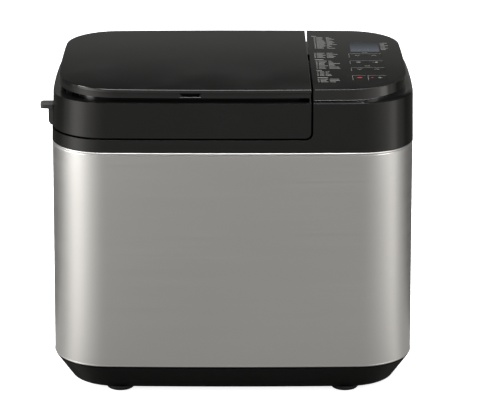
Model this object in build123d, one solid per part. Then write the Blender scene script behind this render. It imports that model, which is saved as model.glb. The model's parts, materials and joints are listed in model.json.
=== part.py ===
from build123d import *
import math
import os

# Bread machine. Millimetres, +Z up, front towards -Y, control console at +X.
# Every section below is drawn about the middle of the steel case; save() then moves the
# pieces so that the origin lies on the floor under the middle of the overall box.

# steel case
CASE_LOW = (196.9, 126.2)       # half width and half depth at the lower edge
CASE_TOP = (194.3, 123.5)       # the same at the upper edge
CASE_CORNER = 60.4
CASE_BOW = (1.8, 1.2)           # how far the front and the sides bulge
CASE_Z0 = 39.8
CASE_Z1 = 279.8
SHEET = 1.0

# base and feet
FOOT_H = 5.0
FOOT_R = 15.6
FOOT_AT = (123.2, 80.5)
BASE_LOW = (180.0, 95.2)
BASE_CORNER = 52.0
BASE_WALL = 2.5
BASE_TOP = 38.3                 # a shadow gap separates the base from the steel
PLATE_Z = 42.0                  # underside of the chassis plate
PLATE_T = 1.5
PLATE_TOP = PLATE_Z + PLATE_T

# plastic top frame, lid skirt and console housing
FRAME_Z0 = 280.4
DECK_Z = 293.6
SKIRT_Z0 = 295.6
SKIRT_Z1 = 333.1
HOUSING_Z1 = 333.0
SHOULDER_Z = 335.1
FRAME_LOW = (194.6, 123.8)
FRAME_DRAFT = (0.023, 0.0153)   # inward lean of sides and front per millimetre of height
SKIRT_LOW = (193.6, 122.8)
SKIRT_DRAFT = (0.033, 0.0245)
WALL = 3.0
LID_EDGE_X = 82.0
LID_ROUND = 6.0                 # lower right corner of the lid, seen from the front
HOUSING_X = 84.2

# cover plate and console top: one rounded outline with a sloping top
TOP_HALF = (186.0, 120.0)
TOP_Y = 0.4                     # the outline's middle is this far behind the case's middle
TOP_CORNER_FRONT = 67.0
TOP_CORNER_BACK = 56.0
TOP_BOW = (2.4, 0.9)
TOP_Z = 350.65                  # height of the sloping top over the middle of the case
TOP_TILT = math.degrees(math.atan(0.0295))
COVER_Z0 = 338.1
COVER_PLATE_T = 3.6
NOTCH_X = -44.0
NOTCH_HALF = (12.8, 8.5)
NOTCH_DEEP = 11.0

# lift tab on the left of the lid
TAB_X = 205.3
TAB_Y = (-68.0, -51.0)
TAB_Z = (313.1, 318.0)

# oven chamber and drive
OVEN_X = -57.0
OVEN_HALF = (108.0, 92.0)
OVEN_CORNER = 30.0
OVEN_Z0 = 62.0
OVEN_FLANGE_Z = 289.4
MOTOR_X = 135.0
SPINDLE_R = 4.0
RUN = 0.03                      # radial clearance of a shaft in its bearing
PULLEY_R = 46.0
MOTOR_PULLEY_R = 7.5
BELT_T = 2.5
PULLEY_Z = (17.0, 27.0)

# bread pan
PAN_LOW = (78.0, 60.0)
PAN_TOP = (82.0, 64.0)
PAN_CORNER = 24.0
PAN_Z0 = 96.0
PAN_Z1 = 228.0
PAN_WALL = 1.8
BAIL_Z = 235.0
BAIL_REACH = 58.0
BAIL_X = 90.5
BAIL_R = 2.3

# hinges, as (y, z) of their pins
LID_PIN = (119.4, 300.0)
LID_HINGE_X = (-60.0, 30.0)
COVER_PIN = (114.5, 341.2)
COVER_HINGE_X = (-75.0, 45.0)

# dispensers in the lid, as x0, x1, y0, y1
FRUIT_BIN = (-112.0, -12.0, 12.0, 86.0)
YEAST_CUP = (-158.0, -124.0, 24.0, 66.0)
FLAP_Z = (299.6, 301.6)
LINER_Z = (298.2, 299.2)

# console
KEY_ROWS = {"timer": 14.0, "option": -13.0, "menu": -40.0}
KEY_COLUMNS = {"down": 136.3, "up": 154.6}
KEY_SIZE = (16.5, 12.0)
STOP_KEY = (134.6, -72.5, 13.6, 15.0)
START_KEY = (153.8, -72.5, 19.0, 15.0)
KEY_GAP = 0.3
WINDOW = (146.0, 48.0, 32.0, 36.8)

CENTRE_X = (TAB_X - CASE_LOW[0]) / 2
BIG = 600.0
UP = (Align.CENTER, Align.CENTER, Align.MIN)
DOWN = (Align.CENTER, Align.CENTER, Align.MAX)


def save(name, *pieces):
    """Write one node; several pieces become a group of separate solids."""
    solids = [solid for piece in pieces for solid in piece.solids()]
    shape = solids[0] if len(solids) == 1 else Compound(solids)
    export_step(Pos(CENTRE_X, 0, 0) * shape, os.path.join("parts", name + ".step"))


def block(x0, x1, y0, y1, z0, z1):
    """Square-edged block between two corners."""
    size = Box(x1 - x0, y1 - y0, z1 - z0)
    return Pos((x0 + x1) / 2, (y0 + y1) / 2, (z0 + z1) / 2) * size


def slab(cx, cy, half, corner, z0, z1):
    """Upright block with rounded vertical edges."""
    face = RectangleRounded(2 * half[0], 2 * half[1], corner)
    return extrude(Pos(cx, cy, z0) * face, z1 - z0)


def post(x, y, radius, z0, z1):
    """Upright cylinder."""
    return Pos(x, y, z0) * Cylinder(radius, z1 - z0, align=UP)


def bar_x(y, z, radius, x0, x1):
    """Cylinder along X."""
    return Pos((x0 + x1) / 2, y, z) * Rot(0, 90, 0) * Cylinder(radius, x1 - x0)


def bar_y(x, z, radius, y0, y1):
    """Cylinder along Y."""
    return Pos(x, (y0 + y1) / 2, z) * Rot(90, 0, 0) * Cylinder(radius, y1 - y0)


def blended_corner(half, corner, bow):
    """Centre of the front right corner arc, and where it meets the front and the side."""
    front_r = ((half[0] - corner) ** 2 + bow[0] ** 2) / (2 * bow[0])
    side_r = ((half[1] - corner) ** 2 + bow[1] ** 2) / (2 * bow[1])
    front = Vector(0, front_r - half[1])
    side = Vector(half[0] - side_r, 0)
    span = side - front
    reach = front_r - corner
    along = (reach ** 2 - (side_r - corner) ** 2 + span.length ** 2) / (2 * span.length)
    across = Vector(-span.Y, span.X).normalized() * math.sqrt(reach ** 2 - along ** 2)
    centre = front + span.normalized() * along
    centre = max(centre + across, centre - across, key=lambda point: point.X)
    meets_front = front + (centre - front).normalized() * front_r
    meets_side = side + (centre - side).normalized() * side_r
    return centre, meets_front, meets_side


def outline(half, corner, bow, z, back_corner=None, y=0.0):
    """Face of eight arcs that meet smoothly: a rounded rectangle with bowed sides."""
    arcs = []
    for flip_y, radius in ((1, corner), (-1, back_corner or corner)):
        centre, front, side = blended_corner(half, radius, bow)
        middle = centre + ((front - centre) + (side - centre)).normalized() * radius
        for flip_x in (1, -1):
            bend = [Vector(p.X * flip_x, p.Y * flip_y) for p in (front, middle, side)]
            arcs.append(ThreePointArc(*bend))
        ends = [Vector(front.X * flip_x, front.Y * flip_y) for flip_x in (-1, 1)]
        arcs.append(ThreePointArc(ends[0], (0, -half[1] * flip_y), ends[1]))
    front_side = blended_corner(half, corner, bow)[2]
    back_side = blended_corner(half, back_corner or corner, bow)[2]
    for flip_x in (1, -1):
        low = (front_side.X * flip_x, front_side.Y)
        high = (back_side.X * flip_x, -back_side.Y)
        arcs.append(ThreePointArc(low, (half[0] * flip_x, 0), high))
    return Pos(0, y, z) * make_face(arcs)


def smaller(half, inset):
    """Half sizes drawn in by an inset."""
    return (half[0] - inset, half[1] - inset)


def leaning(half, draft, rise):
    """Half sizes after a rise, drawn in by a draft of their own."""
    return (half[0] - draft[0] * rise, half[1] - draft[1] * rise)


def tapered(low, high, corner, bow, z0, z1, inset=0.0):
    """Solid between two outlines of the same kind at two heights."""
    faces = [
        outline(smaller(half, inset), corner - inset, bow, z)
        for half, z in ((low, z0), (high, z1))
    ]
    return loft(faces, ruled=True)


def case_size(z):
    """Half sizes of the steel case at a height."""
    t = (z - CASE_Z0) / (CASE_Z1 - CASE_Z0)
    return tuple(a + (b - a) * t for a, b in zip(CASE_LOW, CASE_TOP))


def frame_size(z):
    """Half sizes of the plastic top frame at a height."""
    return leaning(FRAME_LOW, FRAME_DRAFT, z - FRAME_Z0)


def skirt_size(z):
    """Half sizes of the lid skirt at a height."""
    return leaning(SKIRT_LOW, SKIRT_DRAFT, z - SKIRT_Z0)


def top_prism(inset, z0, z1):
    """Upright solid on the outline that the cover and the console share."""
    face = outline(
        smaller(TOP_HALF, inset), TOP_CORNER_FRONT - inset, TOP_BOW, z0,
        TOP_CORNER_BACK - inset, TOP_Y,
    )
    return extrude(face, z1 - z0)


def on_top(x=0.0, y=0.0, depth=0.0):
    """Place on the sloping top, a depth below its surface."""
    return Pos(0, 0, TOP_Z) * Rot(TOP_TILT, 0, 0) * Pos(x, y, -depth)


def below_top(depth):
    """Everything under the sloping top, a depth below it."""
    return on_top(depth=depth) * Box(BIG, BIG, BIG, align=DOWN)


def base_tray():
    body = loft([
        outline(BASE_LOW, BASE_CORNER, CASE_BOW, FOOT_H),
        outline(smaller(CASE_LOW, 0.7), CASE_CORNER, CASE_BOW, BASE_TOP),
    ], ruled=True)
    body -= loft([
        outline(smaller(BASE_LOW, BASE_WALL), BASE_CORNER - BASE_WALL, CASE_BOW, FOOT_H + BASE_WALL),
        outline(smaller(CASE_LOW, 4.6), CASE_CORNER - 4.2, CASE_BOW, BASE_TOP),
    ], ruled=True)
    rim = tapered(CASE_LOW, CASE_LOW, CASE_CORNER, CASE_BOW, BASE_TOP - 1, PLATE_Z, 2.6)
    body += rim - tapered(CASE_LOW, CASE_LOW, CASE_CORNER, CASE_BOW, BASE_TOP - 1, PLATE_Z, 4.6)
    for x, y in chassis_screw_places():
        body += post(x, y, 5, FOOT_H + 1, PLATE_Z) - post(x, y, 1.6, 28, PLATE_Z)
    for x, y in foot_places():
        body -= post(x, y, 4, FOOT_H, FOOT_H + BASE_WALL)
    for n in range(9):
        x = -60 + n * 15
        for y in (-60, 60):
            body -= block(x, x + 3, y - 14, y + 14, FOOT_H, FOOT_H + BASE_WALL)
    return body


def foot_places():
    return [(sx * FOOT_AT[0], sy * FOOT_AT[1]) for sx in (-1, 1) for sy in (-1, 1)]


def foot(x, y):
    pad = fillet(post(0, 0, FOOT_R, 0, FOOT_H).edges().sort_by(Axis.Z)[0], 3.5)
    pad += post(0, 0, 4, FOOT_H, FOOT_H + BASE_WALL)
    pad += post(0, 0, 5.5, FOOT_H + BASE_WALL, FOOT_H + BASE_WALL + 1.5)
    return Pos(x, y, 0) * pad


def chassis_screw_places():
    return [(x, sy * y) for x, y in ((-165, 60), (165, 60), (20, 84)) for sy in (-1, 1)]


def motor_screw_places():
    turns = [math.radians(a) for a in (90, 210, 330)]
    return [(MOTOR_X + 26 * math.cos(a), 26 * math.sin(a)) for a in turns]


def chassis_plate():
    plate = tapered(CASE_LOW, CASE_LOW, CASE_CORNER, CASE_BOW, PLATE_Z, PLATE_TOP, 1.8)
    plate -= post(OVEN_X, 0, 12, PLATE_Z, PLATE_TOP)
    plate -= post(MOTOR_X, 0, 12, PLATE_Z, PLATE_TOP)
    for x, y in chassis_screw_places():
        plate -= post(x, y, 1.6, PLATE_Z, PLATE_TOP)
    for x, y in motor_screw_places():
        plate -= post(x, y, 1.5, PLATE_Z, PLATE_TOP)
    return plate


def screw(x, y, z, head_r, head_h, shank_r, shank):
    """Screw whose head stands on z, with its shank below."""
    return post(x, y, head_r, z, z + head_h) + post(x, y, shank_r, z - shank, z)


def steel_jacket():
    """One sheet wrapped round the case, with cooling slots and the inlet hole at the back."""
    outer = tapered(CASE_LOW, CASE_TOP, CASE_CORNER, CASE_BOW, CASE_Z0, CASE_Z1)
    sheet = outer - tapered(CASE_LOW, CASE_TOP, CASE_CORNER, CASE_BOW, CASE_Z0, CASE_Z1, SHEET)
    for n in range(12):
        x = 60 + n * 6
        sheet -= block(x, x + 3, 115, 130, 225, 250)
    sheet -= block(91, 119, 115, 130, 61, 81)
    for x, z in jacket_screw_places():
        sheet -= bar_y(x, z, 1.5, 115, 130)
    return sheet


def jacket_screw_places():
    return [(x, z) for x in (-90, 90) for z in (100, 262)]


def jacket_screw(x, z):
    """Pan-head screw through the back of the steel case."""
    face = case_size(z)[1] - CASE_BOW[0] * (x / (CASE_LOW[0] - CASE_CORNER)) ** 2
    return bar_y(x, z, 3.5, face + 0.1, face + 1.2) + bar_y(x, z, 1.5, face - 9, face + 0.1)


def power_inlet():
    """Appliance socket let into the back of the case."""
    body = block(91, 119, 104, 125.4, 61, 81)
    body += block(87, 123, 125.4, 126.2, 57, 85)
    body -= block(93.5, 116.5, 108, 127, 63.5, 78.5)
    return body


def inlet_pins():
    return [block(x - 1, x + 1, 108, 118, 69, 73) for x in (98, 105, 112)]


def top_frame():
    """Collar over the steel, deck round the oven mouth, and housing under the console."""
    frame = tapered(frame_size(FRAME_Z0), frame_size(DECK_Z), CASE_CORNER, CASE_BOW, FRAME_Z0, DECK_Z)
    under_deck = DECK_Z - WALL
    frame -= tapered(
        frame_size(FRAME_Z0), frame_size(DECK_Z), CASE_CORNER, CASE_BOW, FRAME_Z0, under_deck, WALL
    )
    lip = tapered(CASE_TOP, CASE_TOP, CASE_CORNER, CASE_BOW, 273, FRAME_Z0 + 1, 1.4)
    lip -= tapered(CASE_TOP, CASE_TOP, CASE_CORNER, CASE_BOW, 273, FRAME_Z0 + 1, WALL)
    frame += lip
    frame += console_housing()
    frame -= slab(OVEN_X, 0, smaller(OVEN_HALF, SHEET), OVEN_CORNER - SHEET, under_deck, DECK_Z)
    for x in LID_HINGE_X:
        frame += hinge_lug(x, LID_PIN, 2.8, DECK_Z - 1)
    return frame


def console_housing():
    """Hollow block right of the lid, with a sloping shoulder under the console top."""
    reach = LID_ROUND + DECK_Z - SKIRT_Z0 + 4
    right = block(HOUSING_X, BIG / 2, -BIG / 2, BIG / 2, DECK_Z - WALL, 360)
    right += block(HOUSING_X - reach, HOUSING_X + 1, -BIG / 2, BIG / 2, DECK_Z - WALL, DECK_Z + reach)
    right -= bar_y(HOUSING_X - reach + 0.1, DECK_Z + reach - 0.1, reach, -BIG / 2, BIG / 2)
    inside = block(HOUSING_X + WALL, BIG / 2, -BIG / 2, BIG / 2, 250, 360)
    sizes = [frame_size(DECK_Z), frame_size(HOUSING_Z1)]
    body = tapered(*sizes, CASE_CORNER, CASE_BOW, DECK_Z, HOUSING_Z1)
    body += loft([
        outline(frame_size(HOUSING_Z1), CASE_CORNER, CASE_BOW, HOUSING_Z1),
        outline(smaller(frame_size(HOUSING_Z1), 5), CASE_CORNER - 5, CASE_BOW, SHOULDER_Z),
    ], ruled=True)
    hollow = tapered(*sizes, CASE_CORNER, CASE_BOW, DECK_Z, HOUSING_Z1 - WALL, WALL)
    hollow += top_prism(6, HOUSING_Z1 - WALL, SHOULDER_Z)
    return (body & right) - (hollow & inside)


def hinge_lug(x, pin, radius, foot_z):
    """Lug that carries a hinge pin, bored to hold it tight."""
    lug = bar_x(*pin, radius, x - 6, x + 6)
    lug += block(x - 6, x + 6, pin[0] - radius, pin[0] + radius, foot_z, pin[1])
    return lug - bar_x(*pin, 1.4, x - 6, x + 6)


def hinge_knuckles(x, pin, radius):
    """Pair of knuckles beside a lug, bored to run on the pin."""
    pair = bar_x(*pin, radius, x - 15, x - 6.5) + bar_x(*pin, radius, x + 6.5, x + 15)
    return pair - bar_x(*pin, 1.4 + RUN, x - 15, x + 15)


def hinge_pins(places, pin):
    return [bar_x(*pin, 1.4, x - 15, x + 15) for x in places]


def lid_slice(z0, z1, edge=LID_EDGE_X):
    """Everything left of the gap between the lid and the console."""
    return block(-BIG / 2, edge, -BIG / 2, BIG / 2, z0, z1)


def lid_screw_places():
    return [(-178, -38), (-178, 38), (62, -80), (62, 80), (-60, -106), (-90, 106)]


def lid_shell():
    """Moulded lid: skirt, deck, and a raised neck that the dispenser cover closes over."""
    sizes = [skirt_size(SKIRT_Z0), skirt_size(SKIRT_Z1)]
    shell = tapered(*sizes, CASE_CORNER, CASE_BOW, SKIRT_Z0, SKIRT_Z1)
    shell &= lid_slice(SKIRT_Z0, SKIRT_Z1)
    hollow = tapered(*sizes, CASE_CORNER, CASE_BOW, SKIRT_Z0, SKIRT_Z1 - WALL, WALL)
    shell -= hollow & lid_slice(SKIRT_Z0, SKIRT_Z1, LID_EDGE_X - WALL)
    x, z = LID_EDGE_X - LID_ROUND, SKIRT_Z0 + LID_ROUND
    corner = block(x, BIG / 2, -BIG / 2, BIG / 2, SKIRT_Z0, z)
    shell -= corner - bar_y(x, z, LID_ROUND, -BIG / 2, BIG / 2)
    neck = top_prism(12, SKIRT_Z1, 337) & lid_slice(SKIRT_Z1, 337, 70)
    shell += neck - (top_prism(14.5, SKIRT_Z1, 337) & lid_slice(SKIRT_Z1, 337, 67.5))
    for x0, x1, y0, y1 in (FRUIT_BIN, YEAST_CUP):
        shell -= block(x0 - 0.2, x1 + 0.2, y0 - 0.2, y1 + 0.2, SKIRT_Z1 - WALL, SKIRT_Z1)
    for x, y in lid_screw_places():
        shell += post(x, y, 4, LINER_Z[1], SKIRT_Z1 - 1) - post(x, y, 1.5, LINER_Z[1], 312)
    for x in LID_HINGE_X:
        shell -= block(x - 15, x + 15, 112, 119.4, SKIRT_Z0, 304.5)
        shell -= block(x - 6.6, x + 6.6, 112, BIG / 2, SKIRT_Z0, 304.5)
        shell += hinge_knuckles(x, LID_PIN, 2.8)
        shell -= bar_x(*LID_PIN, 1.4 + RUN, x - 15.2, x + 15.2)
    for x in COVER_HINGE_X:
        shell -= block(x - 18, x + 18, 100, 130, SKIRT_Z1, 337)
        shell += hinge_lug(x, COVER_PIN, 2.6, SKIRT_Z1 - 1)
    shell -= block(-180, -165, -80, -37, SKIRT_Z1, 337)
    return shell


def steam_vent():
    """Slotted insert in the left of the neck, where the lid lets steam out."""
    bars = block(-176, -170, -80, -37, SKIRT_Z1, 337)
    for n in range(8):
        y = -77.4 + n * 5
        bars -= block(-176, -170, y, y + 2.6, SKIRT_Z1 + 1, 336)
    return bars


def lift_tab():
    """Finger tab on the left of the lid, with a block under it."""
    corner = 4
    plan = Pos(-TAB_X + 8, sum(TAB_Y) / 2, TAB_Z[0])
    tab = extrude(plan * RectangleRounded(16, TAB_Y[1] - TAB_Y[0], corner), TAB_Z[1] - TAB_Z[0])
    foot = SKIRT_Z0 - 0.4
    under = block(-196.7, -188, TAB_Y[0] + 1, TAB_Y[1] - 1, foot, TAB_Z[0])
    slope = Plane.XZ * make_face(Polyline(
        (-197, foot - 1), (-194.4, foot - 1), (-194.4, foot), (-197, foot + 4.4), close=True
    ))
    under -= extrude(slope, BIG, both=True)
    sizes = [skirt_size(SKIRT_Z0), skirt_size(SKIRT_Z1)]
    return tab + under - tapered(*sizes, CASE_CORNER, CASE_BOW, SKIRT_Z0, SKIRT_Z1)


def lid_liner():
    """Flat metal plate under the lid, open under both dispensers."""
    face = outline(smaller(SKIRT_LOW, 8), CASE_CORNER - 8, CASE_BOW, LINER_Z[0])
    plate = extrude(face, LINER_Z[1] - LINER_Z[0]) & lid_slice(*LINER_Z, 72)
    for x0, x1, y0, y1 in (FRUIT_BIN, YEAST_CUP):
        plate -= block(x0 - 1, x1 + 1, y0, y1 + 6, *LINER_Z)
    for x, y in lid_screw_places():
        plate -= post(x, y, 1.5, *LINER_Z)
    for x in LID_HINGE_X:
        plate -= block(x - 17, x + 17, 108, 130, *LINER_Z)
    return plate


def lid_gasket():
    """Silicone ring that meets the deck round the oven mouth."""
    ring = slab(OVEN_X, 0, (114, 98), 36, DECK_Z + 0.3, LINER_Z[0])
    return ring - slab(OVEN_X, 0, (110, 94), 32, DECK_Z + 0.3, LINER_Z[0])


def hopper(x0, x1, y0, y1):
    """Open-ended dispenser box with a flange on the lid and two hinge lugs behind."""
    box = block(x0, x1, y0, y1, 302, SKIRT_Z1)
    box += block(x0 - 4, x1 + 4, y0 - 4, y1 + 4, SKIRT_Z1, SKIRT_Z1 + 1.5)
    box -= block(x0 + 2, x1 - 2, y0 + 2, y1 - 2, 302, SKIRT_Z1 + 1.5)
    for lug_x in (x0, x1 - 5):
        lug = block(lug_x, lug_x + 5, y1 - 0.5, y1 + 5.4, 299.4, 306)
        box += lug - bar_x(y1 + 3, 301.5, 1.2, lug_x, lug_x + 5)
    return box


def flap(x0, x1, y0, y1):
    """Drop door that closes a hopper from below."""
    door = block(x0 + 0.5, x1 - 0.5, y0 + 1, y1 - 2.5, *FLAP_Z)
    door += block(x0 + 5.5, x1 - 5.5, y1 - 2.5, y1 + 3, *FLAP_Z)
    door += bar_x(y1 + 3, 301.5, 2.1, x0 + 5.5, x1 - 5.5)
    return door - bar_x(y1 + 3, 301.5, 1.2 + RUN, x0, x1)


def flap_pin(x0, x1, y0, y1):
    return bar_x(y1 + 3, 301.5, 1.2, x0, x1)


def latch_solenoid():
    """Coil that holds the fruit and nut door shut."""
    body = block(-6, 18, 34, 60, 304, 326)
    body += bar_x(47, 315, 4, -8.5, 22)
    return body


def cover_tray():
    """Frame of the dispenser cover, with the finger notch in its front edge."""
    tray = top_prism(0.8, COVER_Z0, 360) & below_top(COVER_PLATE_T)
    tray &= lid_slice(COVER_Z0, 360, LID_EDGE_X - 0.4)
    hollow = top_prism(4.5, COVER_Z0, 360) & below_top(COVER_PLATE_T + 2.4)
    tray -= hollow & lid_slice(COVER_Z0, 360, LID_EDGE_X - 3.5)
    y0 = TOP_Y - TOP_HALF[1]
    tray += block(NOTCH_X - 18, NOTCH_X + 18, y0 + 4, y0 + NOTCH_DEEP + 2, COVER_Z0, 345)
    wide, narrow = NOTCH_HALF
    notch = Plane.XZ * make_face(Polyline(
        (NOTCH_X - wide, 345), (NOTCH_X + wide, 345), (NOTCH_X + narrow, 339.4),
        (NOTCH_X - narrow, 339.4), close=True,
    ))
    tray -= Pos(0, y0 + NOTCH_DEEP, 0) * extrude(notch, 40)
    for x in COVER_HINGE_X:
        tray -= block(x - 6.6, x + 6.6, 110.4, 130, COVER_Z0, 345.2)
        tray += hinge_knuckles(x, COVER_PIN, 2.6)
        tray += block(x - 15, x - 6.6, COVER_PIN[0] - 1, 117.5, COVER_PIN[1] + 1, 349)
        tray += block(x + 6.6, x + 15, COVER_PIN[0] - 1, 117.5, COVER_PIN[1] + 1, 349)
        tray -= bar_x(*COVER_PIN, 1.4 + RUN, x - 15.2, x + 15.2)
    return tray & (below_top(COVER_PLATE_T))


def cover_plate():
    plate = top_prism(0, COVER_Z0, 360) & below_top(0)
    return (plate - below_top(COVER_PLATE_T)) & lid_slice(COVER_Z0, 360)


def keys():
    """Every key's name with its x, y, width and depth on the sloping top."""
    found = {
        f"{row}_{side}_key": (x, y, *KEY_SIZE)
        for row, y in KEY_ROWS.items()
        for side, x in KEY_COLUMNS.items()
    }
    found["stop_key"] = STOP_KEY
    found["start_key"] = START_KEY
    return found


def key_cap(x, y, w, d):
    """Flush key with a retaining flange and a plunger under it."""
    cap = extrude(RectangleRounded(w - 2 * KEY_GAP, d - 2 * KEY_GAP, 1.8), -3.0)
    cap += Pos(0, 0, -3.0) * Box(w + 1.0, d + 0.8, 1.0, align=DOWN)
    cap += Pos(0, 0, -4.0) * Cylinder(2, 1.8, align=DOWN)
    return on_top(x, y) * cap


def console_panel():
    """Top of the console: side band, sloping face, key holes and window recess."""
    panel = top_prism(0, SHOULDER_Z, 360) & below_top(0)
    panel &= block(HOUSING_X, BIG / 2, -BIG / 2, BIG / 2, SHOULDER_Z, 360)
    hollow = top_prism(2.5, SHOULDER_Z, 360) & below_top(2.5)
    panel -= hollow & block(HOUSING_X + 2.5, BIG / 2, -BIG / 2, BIG / 2, SHOULDER_Z, 360)
    for x, y, w, d in keys().values():
        panel -= on_top(x, y) * extrude(RectangleRounded(w, d, 2), -4)
    panel += block(HOUSING_X - 1.5, HOUSING_X + 1, 55, 116, SHOULDER_Z, 342)
    x, y, w, d = WINDOW
    panel -= on_top(x, y) * extrude(RectangleRounded(w, d, 1.5), -1.5)
    panel -= on_top(x, y) * Box(w - 5, d - 5, 12)
    for x, y in board_screw_places():
        boss = Pos(0, 0, -2.3) * Cylinder(3.2, 7.2, align=DOWN)
        boss -= Pos(0, 0, -4.5) * Cylinder(1.2, 5, align=DOWN)
        panel += on_top(x, y) * boss
    return panel


def board_screw_places():
    return [(99, -74), (168.5, -53), (99, 80), (170, 10)]


def display_window():
    x, y, w, d = WINDOW
    return on_top(x, y) * extrude(RectangleRounded(w - 0.2, d - 0.2, 1.4), -1.5)


def display_module():
    x, y, w, d = WINDOW
    return on_top(x, y, 2.8) * Box(w - 1, d - 1, 5.5, align=DOWN)


def control_board():
    board = on_top(134, 2, 9.5) * Box(80, 164, 1.6, align=DOWN)
    for x, y in board_screw_places():
        board -= on_top(x, y, 9.5) * Box(2.5, 2.5, 4)
    return board


def tact_switch(x, y):
    body = Pos(0, 0, -9.5) * Box(6, 6, 2.2, align=UP)
    return on_top(x, y) * (body + Pos(0, 0, -7.3) * Cylinder(1.6, 0.8, align=UP))


def oven_chamber():
    """Deep drawn liner with a flange under the deck."""
    shell = slab(OVEN_X, 0, OVEN_HALF, OVEN_CORNER, OVEN_Z0, OVEN_FLANGE_Z)
    shell += slab(OVEN_X, 0, (113, 97), 35, OVEN_FLANGE_Z, DECK_Z - WALL)
    inner = smaller(OVEN_HALF, SHEET)
    shell -= slab(OVEN_X, 0, inner, OVEN_CORNER - SHEET, OVEN_Z0 + SHEET, DECK_Z)
    shell -= post(OVEN_X, 0, 12, OVEN_Z0, OVEN_Z0 + SHEET)
    for y in (-12, 12):
        shell -= bar_x(y, 100, 3.25, OVEN_X + 100, OVEN_X + 115)
    shell -= bar_y(OVEN_X + 60, 170, 3, 85, 100)
    return shell


def chamber_stands():
    places = [(OVEN_X + sx * 80, sy * 62) for sx in (-1, 1) for sy in (-1, 1)]
    return [post(x, y, 5, PLATE_TOP, OVEN_Z0) for x, y in places]


def heater_element():
    """Tubular element looped once round the pan, its two ends leaving through the wall."""
    x, y = 101.5, 84
    route = [(122, -12), (x, -12), (x, -y), (-x, -y), (-x, y), (x, y), (x, 12), (122, 12)]
    line = FilletPolyline(*[(px, py, 100) for px, py in route], radius=[5, 26, 26, 26, 26, 5])
    ring = sweep(Plane(origin=line @ 0, z_dir=line % 0) * Circle(3.2), path=line)
    return Pos(OVEN_X, 0, 0) * ring


def heater_clips():
    places = [(OVEN_X + sx * 101.5, sy * 40) for sx in (-1, 1) for sy in (-1, 1)]
    return [block(x - 1.2, x + 1.2, y - 4, y + 4, OVEN_Z0 + SHEET, 96.7) for x, y in places]


def temperature_sensor():
    return bar_y(OVEN_X + 60, 170, 3, 80, 104) + bar_y(OVEN_X + 60, 170, 5, 92, 95)


def sector(start, end, inner, outer, z0, z1):
    """Part of an upright ring between two angles, in degrees."""
    cut = []
    for n in range(5):
        a = math.radians(start + (end - start) * n / 4)
        cut.append((outer * 1.1 * math.cos(a), outer * 1.1 * math.sin(a)))
    wedge = extrude(Pos(0, 0, z0) * make_face(Polyline((0, 0), *cut, close=True)), z1 - z0)
    ring = post(0, 0, outer, z0, z1) - post(0, 0, inner, z0, z1)
    return Pos(OVEN_X, 0, 0) * (wedge & ring)


def pan_seat():
    """Bayonet ring on the oven floor, with a window for each lug of the pan."""
    seat = post(OVEN_X, 0, 41, 63, 80) - post(OVEN_X, 0, 37.5, 63, 80)
    seat += post(OVEN_X, 0, 47, 63, 64.5) - post(OVEN_X, 0, 37.5, 63, 64.5)
    for turn in (0, 180):
        seat -= sector(turn - 9, turn + 21, 36, 43, 71, 77)
        seat -= sector(turn + 3, turn + 21, 36, 43, 71, 81)
    return seat


def bearing_housing():
    body = post(OVEN_X, 0, 12, 34, 66) + post(OVEN_X, 0, 20, PLATE_TOP, PLATE_TOP + 3)
    return body - post(OVEN_X, 0, 6.5, 34, 66)


def spindle_bushes():
    return [
        post(OVEN_X, 0, 6.5, z, z + 9) - post(OVEN_X, 0, SPINDLE_R + RUN, z, z + 9)
        for z in (34, 57)
    ]


def drive_coupling():
    """Disc with two pegs that push the wing under the pan."""
    disc = post(OVEN_X, 0, 17, 76, 80) + post(OVEN_X, 0, 8, 70, 76)
    for side in (-1, 1):
        disc += post(OVEN_X + side * 12, 0, 3, 79, 88)
    return disc - post(OVEN_X, 0, SPINDLE_R, 70, 78)


def pulley(x, radius, hub, bottom, top):
    """Flanged belt pulley."""
    z0, z1 = PULLEY_Z
    wheel = post(x, 0, radius, z0, z1)
    wheel += post(x, 0, radius + 3, z0, z0 + 1) + post(x, 0, radius + 3, z1 - 1, z1)
    wheel += post(x, 0, hub, bottom, top)
    return wheel - post(x, 0, SPINDLE_R, bottom, top)


def large_pulley():
    wheel = pulley(OVEN_X, PULLEY_R, 9, 16, 33)
    for n in range(6):
        a = math.radians(60 * n)
        wheel -= post(OVEN_X + 27 * math.cos(a), 27 * math.sin(a), 9, 16, 28)
    return wheel


def drive_belt():
    """Flat belt that wraps both pulleys with a hair's clearance."""
    loops = []
    for extra in (0.05, 0.05 + BELT_T):
        rims = [(OVEN_X, PULLEY_R + extra), (MOTOR_X, MOTOR_PULLEY_R + extra)]
        edges = [edge for x, r in rims for edge in (Pos(x, 0) * Circle(r)).edges()]
        loops.append(extrude(Pos(0, 0, PULLEY_Z[0] + 1.4) * make_hull(edges), 7.2))
    return loops[1] - loops[0]


def motor():
    body = post(MOTOR_X, 0, 33, 48, 112)
    body = fillet(body.edges().filter_by(GeomType.CIRCLE), 3)
    body += post(MOTOR_X, 0, 10, 111, 117)
    body -= post(MOTOR_X, 0, SPINDLE_R + RUN, 40, 114)
    for x, y in motor_screw_places():
        body -= post(x, y, 1.5, 48, 54)
    return body


def motor_mounts():
    return [
        post(x, y, 5, PLATE_TOP, 48) - post(x, y, 1.5, PLATE_TOP, 48)
        for x, y in motor_screw_places()
    ]


def motor_screw(x, y):
    return post(x, y, 3, PLATE_Z - 2, PLATE_Z) + post(x, y, 1.5, PLATE_Z, 54)


def heat_shield():
    """Steel screen between the oven and the electronics, with standoffs for the power board."""
    screen = block(72, 73, -100, 100, PLATE_TOP, 272)
    screen += block(73, 84, -100, 100, PLATE_TOP, PLATE_TOP + 1)
    for y in (-62, 62):
        for z in (158, 254):
            screen += bar_x(y, z, 3, 73, 80)
    return screen


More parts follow.
